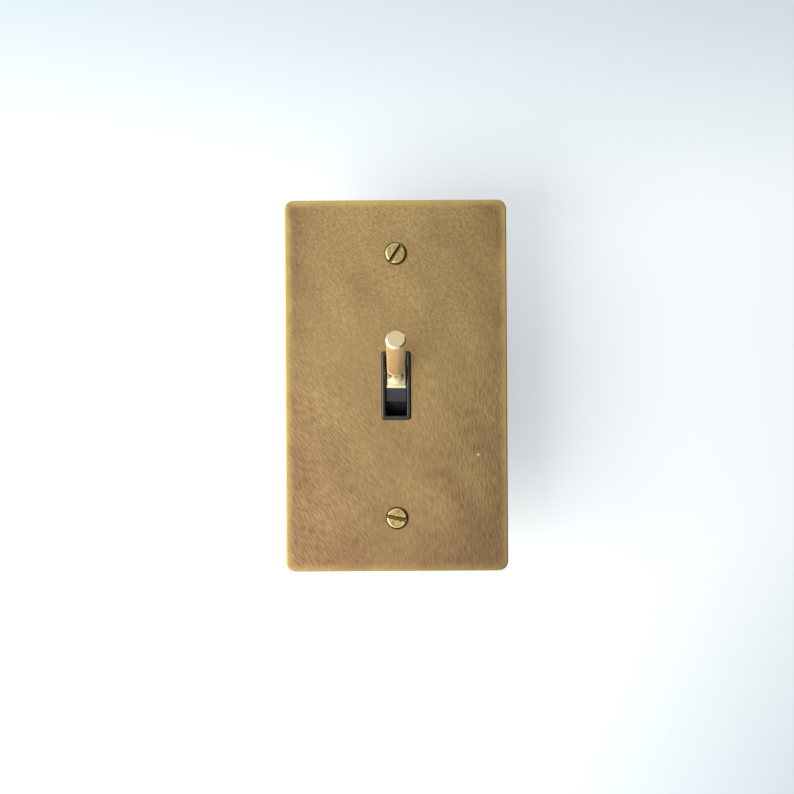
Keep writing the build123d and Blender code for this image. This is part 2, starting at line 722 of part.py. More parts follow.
PIECES = {
    "face_plate": make_face_plate,
    "box_screws": make_box_screws,
    "screw_retainers": make_screw_retainers,
    "plate_studs": make_plate_studs,
    "stud_washers": make_stud_washers,
    "stud_nuts": make_stud_nuts,
    "mounting_strap": make_mounting_strap,
    "earth_screw": make_earth_screw,
    "strap_rivets": make_strap_rivets,
    "collar_cover": make_collar_cover,
    "housing": make_housing,
    "pivot_pin": make_pivot_pin,
    "toggle_drum": make_toggle_drum,
    "lever_foot": make_lever_foot,
    "lever_grip": make_lever_grip,
    "plunger": make_plunger,
    "plunger_spring": make_plunger_spring,
    "contact_rocker": make_contact_rocker,
    "moving_contact": make_moving_contact,
    "fixed_contact": make_fixed_contact,
    "load_terminal": make_load_terminal,
    "common_terminal": make_common_terminal,
    "clamp_plates": make_clamp_plates,
    "terminal_screws": make_terminal_screws,
}

os.makedirs("parts", exist_ok=True)
for name, make in PIECES.items():
    export_step(make(), f"parts/{name}.step")
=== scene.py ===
# %% [markdown]
# # A brass toggle light switch, dressed for a picture
# The switch is a real assembly: an antiqued brass plate, two slotted screws, a knurled brass
# lever and, behind the plate, a strap, a moulded housing and the snap mechanism.
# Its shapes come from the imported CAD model, so this lesson only adds what CAD can't say:
# finishes, the threads of the screws, a camera and a plain white studio.
# Everything is in metres, in the CAD frame: X to the right, Y into the wall and Z up.

# %% Load the frame
import json
import math

import bmesh
import bpy
from mathutils import Matrix, Vector


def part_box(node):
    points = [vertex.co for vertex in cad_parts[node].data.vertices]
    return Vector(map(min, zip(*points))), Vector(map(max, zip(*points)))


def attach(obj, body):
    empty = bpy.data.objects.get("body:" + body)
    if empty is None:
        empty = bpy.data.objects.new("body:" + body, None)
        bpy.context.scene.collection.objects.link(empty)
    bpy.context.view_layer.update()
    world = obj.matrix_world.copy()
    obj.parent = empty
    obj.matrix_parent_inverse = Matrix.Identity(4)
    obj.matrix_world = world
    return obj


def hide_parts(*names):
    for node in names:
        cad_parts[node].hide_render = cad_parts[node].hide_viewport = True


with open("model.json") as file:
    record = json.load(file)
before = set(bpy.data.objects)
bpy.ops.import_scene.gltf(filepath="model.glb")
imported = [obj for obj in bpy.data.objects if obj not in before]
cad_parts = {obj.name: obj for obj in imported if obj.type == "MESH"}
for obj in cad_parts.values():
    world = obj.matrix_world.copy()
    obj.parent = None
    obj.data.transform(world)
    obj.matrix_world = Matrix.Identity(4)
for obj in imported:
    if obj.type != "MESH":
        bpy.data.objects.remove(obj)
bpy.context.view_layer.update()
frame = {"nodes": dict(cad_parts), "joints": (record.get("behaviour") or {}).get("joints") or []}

nodes = frame["nodes"]
scene = bpy.context.scene
scene.view_settings.view_transform = "Standard"

# %% [markdown]
# ## Small tools
# Colours are read off as sRGB hex values, but shader nodes work in linear light, so one function
# turns them round. Sizes are thought of in millimetres. One more function adds a node, sets its
# properties and fills or links its inputs. A few short ones on top of it start a finish, blend two
# colours and give relief, which keeps each finish short enough to read.

# %% Colour, size and node helpers
MM = 0.001


def linear(hex_colour):
    """The linear colour of an sRGB hex value such as B0945F."""
    parts = [int(hex_colour[i:i + 2], 16) / 255 for i in (0, 2, 4)]
    return tuple(p / 12.92 if p < 0.04045 else ((p + 0.055) / 1.055) ** 2.4 for p in parts) + (1.0,)


def mm(*sizes):
    """Sizes in millimetres as metres."""
    return tuple(MM * s for s in sizes)


def add(tree, kind, inputs=None, **settings):
    """Adds one node; an input is filled with a value or linked to a socket."""
    made = tree.nodes.new("ShaderNode" + kind)
    for name, value in settings.items():
        setattr(made, name, value)
    for name, value in (inputs or {}).items():
        if isinstance(value, bpy.types.NodeSocket):
            tree.links.new(value, made.inputs[name])
        else:
            made.inputs[name].default_value = value
    return made


def start_finish(name, metallic, roughness):
    """A new material with its node tree, its shader and the Object coordinates."""
    material = bpy.data.materials.new(name)
    material.use_nodes = True
    tree = material.node_tree
    shader = tree.nodes["Principled BSDF"]
    shader.inputs["Metallic"].default_value = metallic
    shader.inputs["Roughness"].default_value = roughness
    return material, tree, shader, add(tree, "TexCoord").outputs["Object"]


def blend(tree, factor, first, second):
    """A Mix node between two colours; each is a value or a socket."""
    return add(tree, "Mix", {0: factor, 6: first, 7: second}, data_type="RGBA")


def emboss(tree, shader, height, depth):
    """Gives a finish its relief, with a depth in millimetres."""
    relief = add(tree, "Bump", {"Height": height, "Distance": depth * MM})
    tree.links.new(relief.outputs[0], shader.inputs["Normal"])


def dress(material, *names):
    """Gives CAD nodes a finish through their material slots."""
    for name in names:
        nodes[name].material_slots[0].material = material
    print(material.name, "->", ", ".join(names))


print("a mid brass in linear light:", [round(c, 3) for c in linear("B09463")])

# %% [markdown]
# ## Camera
# The photograph looks straight at the plate from about 260 mm in front of it, slightly below its
# middle, with a frame 250 mm wide at the plate. The plate hangs a third of a degree out of
# true, so the camera is rolled by that much instead of turning the object.

# %% Place the camera
PLATE_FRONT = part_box("face_plate")[0].y
VIEW_DISTANCE = 260 * MM
FRAME_WIDTH = 250.1 * MM
ROLL = 0.344
CAMERA_X = 0.22 * MM
CAMERA_Z = -3.59 * MM

camera_data = bpy.data.cameras.new("copy_stand_camera")
camera_data.sensor_width = 36.0
camera_data.lens = camera_data.sensor_width * VIEW_DISTANCE / FRAME_WIDTH
camera_data.clip_start = 10 * MM
camera = bpy.data.objects.new("copy_stand_camera", camera_data)
camera.location = (CAMERA_X, PLATE_FRONT - VIEW_DISTANCE, CAMERA_Z)
camera.rotation_euler = (math.radians(90), math.radians(ROLL), 0)
scene.collection.objects.link(camera)
scene.camera = camera
print("lens", round(camera_data.lens, 2), "mm")

# %% [markdown]
# ## White wall and floor
# The switch stands off a white wall, a little deeper than its housing, and a pale floor lies
# below the picture. Both are plain sheets that the camera, reflections and transmission see.
# The wall carries painted shade, a bluish grey towards the top and the right, and both sheets
# emit painted light of their own, which softens the shadow.
# Other rays pass through them, because the softbox stands lower than the floor, and so does every
# ray from behind, so that the back of the switch can be looked at.

# %% Build the wall and the floor
WALL_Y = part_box("strap_rivets")[1].y + 2 * MM
FLOOR_Z = -190 * MM
STAGE = 2.4
WALL_PAINTED_GLOW = 0.47


def sheet(name, width, depth, turn, place):
    """A flat sheet for the stage, its front along +Z before it is turned."""
    shape = bmesh.new()
    bmesh.ops.create_grid(shape, x_segments=1, y_segments=1, size=0.5)
    bmesh.ops.scale(shape, vec=(width, depth, 1), verts=shape.verts)
    bmesh.ops.transform(shape, matrix=Matrix.Translation(place) @ turn, verts=shape.verts)
    mesh = bpy.data.meshes.new(name)
    shape.to_mesh(mesh)
    shape.free()
    made = bpy.data.objects.new(name, mesh)
    scene.collection.objects.link(made)
    return made


standing = Matrix.Rotation(math.radians(90), 4, "X")
wall = sheet("white_wall", STAGE, STAGE, standing, (0, WALL_Y, FLOOR_Z + STAGE / 2))
floor = sheet("pale_floor", STAGE, STAGE, Matrix.Identity(4), (0, WALL_Y - STAGE / 2, FLOOR_Z))

# painted shade: the wall turns a bluish grey towards the top and the right; painted light: an
# emission of their own softens the shadow on wall and floor
wall_paint_shade_glow, tree, shader, place = start_finish("white_wall_paint_painted_shade_glow", 0.0, 0.9)
shader.inputs["Specular IOR Level"].default_value = 0.1
axes = add(tree, "SeparateXYZ", {0: place})
rise = add(tree, "MapRange", {"Value": axes.outputs["Z"], "From Min": 18 * MM, "From Max": 180 * MM},
           interpolation_type="SMOOTHSTEP")
across = add(tree, "MapRange", {"Value": axes.outputs["X"], "From Min": 40 * MM, "From Max": 200 * MM,
                                "To Max": 0.35})
corner = add(tree, "VectorMath", {0: place, 1: (0.7, 0.0, -0.7)}, operation="DOT_PRODUCT")
low = add(tree, "MapRange", {"Value": corner.outputs["Value"], "From Min": 100 * MM, "From Max": 200 * MM,
                             "To Max": 0.75})
sides = add(tree, "Math", {0: across.outputs[0], 1: low.outputs[0], 2: 0.1}, operation="SMOOTH_MAX")
painted_falloff = add(tree, "Math", {0: rise.outputs[0], 1: sides.outputs[0], 2: 0.1}, operation="SMOOTH_MAX")
on_wall = add(tree, "Math", {0: axes.outputs["Z"], 1: FLOOR_Z + 1 * MM}, operation="GREATER_THAN")
shaded = add(tree, "Math", {0: painted_falloff.outputs[0], 1: on_wall.outputs[0]}, operation="MULTIPLY")
white = blend(tree, shaded.outputs[0], linear("FBFCFD"), linear("C6D2D8"))
tree.links.new(white.outputs[2], shader.inputs["Base Color"])
path = add(tree, "LightPath")
behind = add(tree, "NewGeometry").outputs["Backfacing"]
mirrored = add(tree, "Math", {0: path.outputs["Is Camera Ray"], 1: path.outputs["Is Glossy Ray"]},
               operation="MAXIMUM")
looked_at = add(tree, "Math", {0: mirrored.outputs[0], 1: path.outputs["Is Transmission Ray"]},
                operation="MAXIMUM")
unseen = add(tree, "Math", {0: 1.0, 1: looked_at.outputs[0]}, operation="SUBTRACT")
away = add(tree, "Math", {0: unseen.outputs[0], 1: behind}, operation="MAXIMUM")
# painted light: the sheets emit light of their own, mixed in at a fixed share, which lightens their shadow
glow_tint = add(tree, "Mix", {0: 1.0, 6: white.outputs[2], 7: linear("F9FDFF")}, data_type="RGBA",
          blend_type="MULTIPLY")
painted_glow = add(tree, "Emission", {"Color": glow_tint.outputs[2], "Strength": 1.0})
lit = add(tree, "MixShader", {0: WALL_PAINTED_GLOW, 1: shader.outputs[0], 2: painted_glow.outputs[0]})
through = add(tree, "BsdfTransparent")
shown = add(tree, "MixShader", {0: away.outputs[0], 1: lit.outputs[0], 2: through.outputs[0]})
tree.links.new(shown.outputs[0], tree.nodes["Material Output"].inputs["Surface"])
for piece in (wall, floor):
    piece.data.materials.append(wall_paint_shade_glow)
print("wall at", round(WALL_Y / MM, 1), "mm, floor at", round(FLOOR_Z / MM, 1), "mm")

# %% [markdown]
# ## Black card
# Brass in a white room looks flat. A black card beside the switch, just outside the picture on
# the right, gives the lever and the plate a dark side. It is hidden from the camera alone.

# %% Stand the card
CARD_X = 150 * MM
CARD = 0.6

facing_left = Matrix.Rotation(math.radians(-90), 4, "Y")
card = sheet("black_card", CARD, CARD, facing_left, (CARD_X, WALL_Y - CARD / 2, FLOOR_Z + CARD / 2))
card.visible_camera = False
board, tree, shader, place = start_finish("black_foam_board", 0.0, 0.8)
grain = add(tree, "TexNoise", {"Vector": place, "Scale": 1 / (25 * MM)})
black = blend(tree, grain.outputs[0], linear("1C1C1E"), linear("262628"))
tree.links.new(black.outputs[2], shader.inputs["Base Color"])
card.data.materials.append(board)
print("card", round(CARD_X / MM), "mm to the right")

# %% [markdown]
# ## Light
# The shadow falls to the right and upwards with a wide soft edge, so the main light is a large
# softbox at the lower left in front. The rest is the bright room, which is a plain world colour,
# and a weak window at the left. With the black card at the right they give metal its two sides.

# %% Set the room, the softbox and the window
world = bpy.data.worlds.new("bright_white_room")
world.use_nodes = True
scene.world = world
tree = world.node_tree
backing = tree.nodes["Background"]
backing.inputs["Color"].default_value = linear("F4F9FD")
backing.inputs["Strength"].default_value = 1.0

WARM = (1.0, 0.97, 0.92)
NEUTRAL = (1.0, 1.0, 1.0)


def lamp(name, place, size, energy, colour):
    """A square lamp at a place in metres, turned to the switch."""
    data = bpy.data.lights.new(name, "AREA")
    data.shape = "SQUARE"
    data.size = size
    data.energy = energy
    data.color = colour
    made = bpy.data.objects.new(name, data)
    made.location = place
    made.rotation_euler = (-Vector(place)).to_track_quat("-Z", "Y").to_euler()
    scene.collection.objects.link(made)
    print(name, "at", place, "m,", energy, "W")


lamp("softbox", (-0.62, -0.66, -0.44), 0.7, 10.3, WARM)
lamp("window", (-1.0, -0.30, 0.10), 0.8, 8.0, NEUTRAL)

# %% [markdown]
# ## Antiqued brass of the plate
# The plate is sheet brass, darkened with a patina bath, brushed by hand with a fine pad and then
# rubbed back along its edges until the gold shows. That leaves three layers to draw: cloudy
# patina, brush marks and a golden rim. Painted shade darkens it towards the bottom and beside the
# screw heads, and painted light brightens the rim at the top and left. A texture-type Mapping
# node divides by real sizes, so a noise of scale 1 has marks as wide and as long as the two sizes say.

# %% Antiqued brass
HALF_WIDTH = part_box("face_plate")[1].x
HALF_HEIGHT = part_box("face_plate")[1].z
HEAD_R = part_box("box_screws")[1].x
SCREW_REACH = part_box("box_screws")[1].z - HEAD_R
NICK = (25.7 * MM, PLATE_FRONT, -21.9 * MM)


def from_screw(tree, axes):
    """The place as seen from the nearer screw's middle, and 1 for the upper screw or -1 for the lower."""
    folded = add(tree, "Math", {0: axes.outputs["Z"]}, operation="ABSOLUTE")
    above = add(tree, "Math", {0: folded.outputs[0], 1: SCREW_REACH}, operation="SUBTRACT")
    which = add(tree, "Math", {0: axes.outputs["Z"]}, operation="SIGN")
    upright = add(tree, "Math", {0: above.outputs[0], 1: which.outputs[0]}, operation="MULTIPLY")
    spoke = add(tree, "CombineXYZ", {"X": axes.outputs["X"], "Z": upright.outputs[0]})
    return spoke, which


plate_brass, tree, shader, place = start_finish("antiqued_brass_brushed", 1.0, 0.45)
axes = add(tree, "SeparateXYZ", {0: place})

# patina: thin in the middle where hands rub it, thick in the corners, with clouds some 25 mm
# across; on top of it, painted shade darkens the plate towards the bottom and a little to the left
share = add(tree, "Mapping", {"Vector": place, "Scale": (HALF_WIDTH, 1.0, HALF_HEIGHT)},
            vector_type="TEXTURE")
shares = add(tree, "SeparateXYZ", {0: share.outputs[0]})
sideways = add(tree, "Math", {0: shares.outputs["X"], 1: shares.outputs["X"]}, operation="MULTIPLY")
endways = add(tree, "Math", {0: shares.outputs["Z"], 1: shares.outputs["Z"]}, operation="MULTIPLY")
ends = add(tree, "Math", {0: endways.outputs[0], 1: 0.48, 2: 0.32}, operation="MULTIPLY_ADD")
# painted shade: darker towards the bottom and a little to the left
painted_low_shade = add(tree, "VectorMath", {0: share.outputs[0], 1: (-0.12, 0.0, -0.36)}, operation="DOT_PRODUCT")
corners_and_low_shade = add(tree, "Math", {0: sideways.outputs[0], 1: ends.outputs[0], 2: painted_low_shade.outputs["Value"]},
              operation="MULTIPLY_ADD")
spread = add(tree, "Mapping", {"Vector": place, "Location": mm(9, 0, 4),
                               "Rotation": (0, math.radians(-35), 0),
                               "Scale": mm(12, 12, 24)}, vector_type="TEXTURE")
cloud = add(tree, "TexNoise", {"Vector": spread.outputs[0], "Scale": 1.0, "Detail": 5.0, "Roughness": 0.55})
clouded = add(tree, "Math", {0: cloud.outputs[0], 1: -1.5, 2: corners_and_low_shade.outputs[0]}, operation="MULTIPLY_ADD")
brown = add(tree, "MapRange", {"Value": clouded.outputs[0], "From Min": -1.13, "From Max": -0.13})
patina_and_low_shade = blend(tree, brown.outputs[0], linear("AD9160"), linear("8A6D4E"))

# brush marks: width and length in mm and lean from upright in degrees. The pad swung in an arc over the
# lower half, so its marks lean more on the left than on the right; the upper half was gone over crosswise
STROKES = {"lower_left": (0.40, 2.8, 36), "lower_right": (0.40, 2.8, 10), "steep": (0.38, 1.2, -30),
           "shallow": (0.38, 1.7, 48)}
strokes = {}
for name, (width, length, lean) in STROKES.items():
    turned = add(tree, "VectorRotate", {"Vector": place, "Angle": math.radians(lean)},
                 rotation_type="Y_AXIS")
    along = add(tree, "Mapping", {"Vector": turned.outputs[0], "Scale": mm(width, 1.0, length)},
                vector_type="TEXTURE")
    grain = add(tree, "TexNoise", {"Vector": along.outputs[0], "Scale": 1.0, "Detail": 1.0,
                                   "Distortion": 0.25})
    strokes[name] = add(tree, "MapRange", {"Value": grain.outputs[0], "From Min": 0.38,
                                           "From Max": 0.62}).outputs[0]
swing = add(tree, "MapRange", {"Value": shares.outputs["X"], "From Min": -0.7, "From Max": 0.7})
lower = add(tree, "Mix", {0: swing.outputs[0], 2: strokes["lower_left"], 3: strokes["lower_right"]})
weave = add(tree, "Mix", {0: 0.5, 2: strokes["steep"], 3: strokes["shallow"]})
crossed = add(tree, "MapRange", {"Value": weave.outputs[0], "From Min": 0.2, "From Max": 0.8})
upper = add(tree, "MapRange", {"Value": axes.outputs["Z"], "From Min": -10 * MM, "From Max": 30 * MM,
                               "To Max": 0.75}, interpolation_type="SMOOTHSTEP")
brushed = add(tree, "Mix", {0: upper.outputs[0], 2: lower.outputs[0], 3: crossed.outputs[0]}).outputs[0]
worn = add(tree, "MapRange", {"Value": brushed, "To Min": 0.83, "To Max": 1.36})
face = add(tree, "VectorMath", {0: patina_and_low_shade.outputs[2], "Scale": worn.outputs[0]}, operation="SCALE")

# the golden rim: distance in from the nearest edge, made uneven by a noise of 5 mm. The gold is wear;
# that it is stronger at the top and the left is painted light
aside = add(tree, "Math", {0: axes.outputs["X"]}, operation="ABSOLUTE")
from_side = add(tree, "Math", {0: HALF_WIDTH, 1: aside.outputs[0]}, operation="SUBTRACT")
upwards = add(tree, "Math", {0: axes.outputs["Z"]}, operation="ABSOLUTE")
from_end = add(tree, "Math", {0: HALF_HEIGHT, 1: upwards.outputs[0]}, operation="SUBTRACT")
inset = add(tree, "Math", {0: from_side.outputs[0], 1: from_end.outputs[0], 2: 1.0 * MM},
            operation="SMOOTH_MIN")
rubbing = add(tree, "TexNoise", {"Vector": place, "Scale": 1 / (5 * MM), "Detail": 3.0})
uneven = add(tree, "Math", {0: rubbing.outputs[0], 1: -2.4 * MM, 2: inset.outputs[0]},
             operation="MULTIPLY_ADD")
rim = add(tree, "MapRange", {"Value": uneven.outputs[0], "From Min": -1.2 * MM, "From Max": 1.7 * MM,
                             "To Min": 1.0, "To Max": 0.0}, interpolation_type="SMOOTHSTEP")
# painted light: the rim is brighter at the top and the left
painted_lit_side = add(tree, "VectorMath", {0: share.outputs[0], 1: (-0.04, 0.0, 0.30)}, operation="DOT_PRODUCT")
rub_and_painted_light = add(tree, "Math", {0: painted_lit_side.outputs["Value"], 1: 0.72}, operation="ADD", use_clamp=True)
golden = add(tree, "Math", {0: rim.outputs[0], 1: rub_and_painted_light.outputs[0]}, operation="MULTIPLY")
gold = blend(tree, golden.outputs[0], face.outputs[0], linear("CDB06C"))

# painted shadow: a dark brown ring beside each screw head, most of it at the lower right, stands for
# the shadow that the proud head casts on the plate
spoke, _ = from_screw(tree, axes)
reach = add(tree, "VectorMath", {0: spoke.outputs[0]}, operation="LENGTH")
aim = add(tree, "VectorMath", {0: spoke.outputs[0]}, operation="NORMALIZE")
shadow_side = add(tree, "VectorMath", {0: aim.outputs[0], 1: (0.85, 0.0, -0.53)}, operation="DOT_PRODUCT")
painted_shadow_side = add(tree, "MapRange", {"Value": shadow_side.outputs["Value"], "From Min": -0.3, "From Max": 0.7,
                                 "To Min": 0.25, "To Max": 1.0})
close = add(tree, "MapRange", {"Value": reach.outputs["Value"],
                               "From Min": HEAD_R + 0.30 * MM, "From Max": HEAD_R + 0.75 * MM,
                               "To Min": 0.92, "To Max": 0.0}, interpolation_type="SMOOTHSTEP")
painted_screw_shadow = add(tree, "Math", {0: close.outputs[0], 1: painted_shadow_side.outputs[0]}, operation="MULTIPLY")
with_screw_shadow = blend(tree, painted_screw_shadow.outputs[0], gold.outputs[2], linear("2E2212"))

# one nick through the patina, right of the middle
from_nick = add(tree, "VectorMath", {0: place, 1: NICK}, operation="DISTANCE")
nicked = add(tree, "MapRange", {"Value": from_nick.outputs["Value"],
                                "From Min": 0.15 * MM, "From Max": 0.55 * MM,
                                "To Min": 0.8, "To Max": 0.0})
scarred = blend(tree, nicked.outputs[0], with_screw_shadow.outputs[2], linear("F4DFC4"))
tree.links.new(scarred.outputs[2], shader.inputs["Base Color"])

polish = add(tree, "MapRange", {"Value": brushed, "To Min": 0.52, "To Max": 0.38})
tree.links.new(polish.outputs[0], shader.inputs["Roughness"])
emboss(tree, shader, brushed, 0.010)
dress(plate_brass, "face_plate")

# %% [markdown]
# ## Turned brass of the screws
# The screw heads are turned from brass bar: a lathe leaves fine rings and handling keeps the rim
# bright. Grime and painted shade darken the slot, most of it along the slot's upper side. Each
# slot was left at its own turn, so the pattern is turned by an angle that depends on which head it is.

# %% Screw brass
HEAD_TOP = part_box("box_screws")[0].y
SLOT_TURNS = {"top": 55.7, "bottom": -12.0}

screw_brass, tree, shader, place = start_finish("turned_brass_screws", 1.0, 0.32)
axes = add(tree, "SeparateXYZ", {0: place})
spoke, which = from_screw(tree, axes)
radius = add(tree, "VectorMath", {0: spoke.outputs[0]}, operation="LENGTH")
rings = add(tree, "TexNoise", {"W": radius.outputs["Value"], "Scale": 1 / (0.12 * MM), "Detail": 2.0},
            noise_dimensions="1D")
stain = add(tree, "TexNoise", {"Vector": place, "Scale": 1 / (0.7 * MM), "Detail": 4.0, "Roughness": 0.6})
stained = add(tree, "MapRange", {"Value": stain.outputs[0], "From Min": 0.35, "From Max": 0.65})
turned_face = blend(tree, stained.outputs[0], linear("9A8146"), linear("D8C184"))
bright = add(tree, "MapRange", {"Value": radius.outputs["Value"], "From Min": HEAD_R - 0.65 * MM,
                                "From Max": HEAD_R - 0.35 * MM})
worn_rim = blend(tree, bright.outputs[0], turned_face.outputs[2], linear("DCC68A"))

turn = add(tree, "MapRange", {"Value": which.outputs[0], "From Min": -1.0, "From Max": 1.0,
                              "To Min": math.radians(SLOT_TURNS["bottom"]),
                              "To Max": math.radians(SLOT_TURNS["top"])})
level = add(tree, "VectorRotate", {"Vector": spoke.outputs[0], "Angle": turn.outputs[0]},
            rotation_type="Y_AXIS")
# grime and painted shade in the slot, darkest along its upper side
across = add(tree, "SeparateXYZ", {0: level.outputs[0]})
grime_and_shade_side = add(tree, "MapRange", {"Value": across.outputs["Z"], "From Min": -0.35 * MM, "From Max": 0.25 * MM,
                              "To Min": 0.45, "To Max": 0.97})
depth = add(tree, "Math", {0: axes.outputs["Y"], 1: HEAD_TOP + 0.65 * MM, 2: 0.45 * MM},
            operation="COMPARE")
inside = add(tree, "Math", {0: radius.outputs["Value"], 1: HEAD_R - 0.02 * MM}, operation="LESS_THAN")
sunk = add(tree, "Math", {0: depth.outputs[0], 1: inside.outputs[0]}, operation="MULTIPLY")
slot_grime_and_shade = add(tree, "Math", {0: sunk.outputs[0], 1: grime_and_shade_side.outputs[0]}, operation="MULTIPLY")
with_slot_grime_and_shade = blend(tree, slot_grime_and_shade.outputs[0], worn_rim.outputs[2], linear("1E170B"))
tree.links.new(with_slot_grime_and_shade.outputs[2], shader.inputs["Base Color"])
gloss = add(tree, "MapRange", {"Value": stain.outputs[0], "To Min": 0.26, "To Max": 0.44})
tree.links.new(gloss.outputs[0], shader.inputs["Roughness"])
emboss(tree, shader, rings.outputs[0], 0.006)
dress(screw_brass, "box_screws")
print("screw centres", round(SCREW_REACH / MM, 2), "mm above and below the middle")

# %% [markdown]
# ## Threads of the box screws
# In CAD the thread is a plain rod of the full width. This piece stands for the two screws: it keeps
# the CAD's head and neck, draws the neck on as a thinner rod, and winds a ridge round it that
# reaches back to the full width. Spinning a small profile while it moves on by one pitch a turn
# makes the ridge, and its two ends are pulled into the rod so that they run out.

# %% Wind the threads
THREAD_R = 1.75 * MM
SUNK_R = 1.30 * MM
THREAD_PITCH = 0.79 * MM
NECK_CUT = 1.0 * MM
THREAD_START = 1.9 * MM
SCREW_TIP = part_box("box_screws")[1].y
TURN_STEPS = 24
WELD = 0.001 * MM
TURNS = int((SCREW_TIP - THREAD_START) / THREAD_PITCH) - 1


def picked(geometry, kind):
    """The items of one kind in what a bmesh operator returns."""
    return [item for item in geometry if isinstance(item, kind)]


def wind(shape, height):
    """Winds one ridge of thread round the screw at this height."""
    profile = ((SUNK_R, -0.5), (THREAD_R, -0.1), (THREAD_R, 0.1), (SUNK_R, 0.5))
    points = [shape.verts.new((reach, THREAD_START + step * THREAD_PITCH, height))
              for reach, step in profile]
    edges = [shape.edges.new(pair) for pair in zip(points, points[1:])]
    wound = bmesh.ops.spin(shape, geom=points + edges, cent=(0, 0, height), axis=(0, 1, 0),
                           angle=TURNS * math.tau, steps=TURNS * TURN_STEPS,
                           dvec=(0, THREAD_PITCH / TURN_STEPS, 0))
    ends = points + picked(wound["geom_last"], bmesh.types.BMVert)
    sink = SUNK_R / THREAD_R
    bmesh.ops.scale(shape, vec=(sink, 1, sink), space=Matrix.Translation((0, 0, -height)), verts=ends)


threaded = bmesh.new()
threaded.from_mesh(nodes["box_screws"].data)
cut = bmesh.ops.bisect_plane(threaded, geom=threaded.verts[:] + threaded.edges[:] + threaded.faces[:],
                             plane_co=(0, NECK_CUT, 0), plane_no=(0, 1, 0), clear_outer=True)
rods = bmesh.ops.extrude_edge_only(threaded, edges=picked(cut["geom_cut"], bmesh.types.BMEdge))["geom"]
tips = picked(rods, bmesh.types.BMVert)
bmesh.ops.translate(threaded, vec=(0, SCREW_TIP - NECK_CUT, 0), verts=tips)
bmesh.ops.remove_doubles(threaded, verts=tips, dist=WELD)
rounds = [e for e in threaded.edges if min(v.co.y for v in e.verts) > SCREW_TIP - WELD]
bmesh.ops.edgeloop_fill(threaded, edges=rounds)
for height in (SCREW_REACH, -SCREW_REACH):
    wind(threaded, height)
bmesh.ops.recalc_face_normals(threaded, faces=threaded.faces)
mesh = bpy.data.meshes.new("threaded_box_screws")
threaded.to_mesh(mesh)
threaded.free()
screws = bpy.data.objects.new("threaded_box_screws", mesh)
scene.collection.objects.link(screws)
screws.data.materials.append(screw_brass)
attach(screws, "frame")
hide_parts("box_screws")
print("threads of", TURNS, "turns;", len(mesh.polygons), "faces")

# %% [markdown]
# ## Satin brass of the lever
# The lever is turned and knurled from brass, then tumbled to a pale satin that is much lighter
# than the plate. Tumbling dulls what it can reach: the knurl and the flat end turn matt, while
# the turned neck and the small chamfer of the end keep the lathe's polish and mirror the bright
# and the dark side of the studio. Distances along the lever's axis tell these zones apart. The
# axis runs through the hinge, and half the hinge's range is its slope.

# %% Lever brass
hinge = next(joint for joint in frame["joints"] if joint["name"] == "toggle_hinge")
HINGE = Vector(hinge["pos_m"])
LEVER_TILT = math.radians(hinge["range_deg"][1]) / 2
GRIP_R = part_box("lever_grip")[1].x
KNURL_DEPTH = 0.24 * MM
GRIP_LOW = 16.4 * MM
GRIP_END = 40.2 * MM
END_BREAK = 0.42 * MM
NECK_HALF = 2.9 * MM
POLISHED = 0.22

lever_brass, tree, shader, place = start_finish("satin_turned_brass", 1.0, 0.4)
straight = add(tree, "VectorRotate", {"Vector": place, "Center": HINGE, "Angle": LEVER_TILT},
               rotation_type="X_AXIS")
axes = add(tree, "SeparateXYZ", {0: straight.outputs[0]})
along = add(tree, "Math", {0: HINGE.y, 1: axes.outputs["Y"]}, operation="SUBTRACT")
spoke = add(tree, "CombineXYZ", {"X": axes.outputs["X"], "Z": axes.outputs["Z"]})
radius = add(tree, "VectorMath", {0: spoke.outputs[0]}, operation="LENGTH")
sunk = add(tree, "MapRange", {"Value": radius.outputs["Value"],
                              "From Min": GRIP_R - KNURL_DEPTH, "From Max": GRIP_R,
                              "To Min": 1.0, "To Max": 0.0})
knurled = add(tree, "Math", {0: along.outputs[0], 1: (GRIP_LOW + GRIP_END) / 2,
                             2: (GRIP_END - GRIP_LOW) / 2 - END_BREAK}, operation="COMPARE")
groove = add(tree, "Math", {0: sunk.outputs[0], 1: knurled.outputs[0]}, operation="MULTIPLY")
haze = add(tree, "TexNoise", {"Vector": place, "Scale": 1 / (2.2 * MM), "Detail": 5.0, "Roughness": 0.65})
hazed = add(tree, "MapRange", {"Value": haze.outputs[0], "From Min": 0.3, "From Max": 0.7})
satin = blend(tree, hazed.outputs[0], linear("F6E2B6"), linear("FDF1D2"))
tone = blend(tree, groove.outputs[0], satin.outputs[2], linear("E8CB94"))
faced = add(tree, "Math", {0: along.outputs[0], 1: GRIP_END - 0.02 * MM}, operation="GREATER_THAN")
ended = blend(tree, faced.outputs[0], tone.outputs[2], linear("E9D2A2"))
tree.links.new(ended.outputs[2], shader.inputs["Base Color"])

matt = add(tree, "MapRange", {"Value": haze.outputs[0], "To Min": 0.42, "To Max": 0.56})
neck = add(tree, "Math", {0: along.outputs[0], 1: GRIP_LOW - NECK_HALF, 2: NECK_HALF}, operation="COMPARE")
chamfer = add(tree, "Math", {0: along.outputs[0], 1: GRIP_END - END_BREAK / 2, 2: 0.45 * END_BREAK},
              operation="COMPARE")
polished = add(tree, "Math", {0: neck.outputs[0], 1: chamfer.outputs[0]}, operation="MAXIMUM")
finish = add(tree, "Mix", {0: polished.outputs[0], 2: matt.outputs[0], 3: POLISHED})
tree.links.new(finish.outputs[0], shader.inputs["Roughness"])
grit = add(tree, "TexNoise", {"Vector": place, "Scale": 1 / (0.18 * MM), "Detail": 2.0})
emboss(tree, shader, grit.outputs[0], 0.004)
dress(lever_brass, "lever_foot", "lever_grip")
print("grip radius", round(GRIP_R / MM, 2), "mm, slope", round(math.degrees(LEVER_TILT), 1), "degrees")

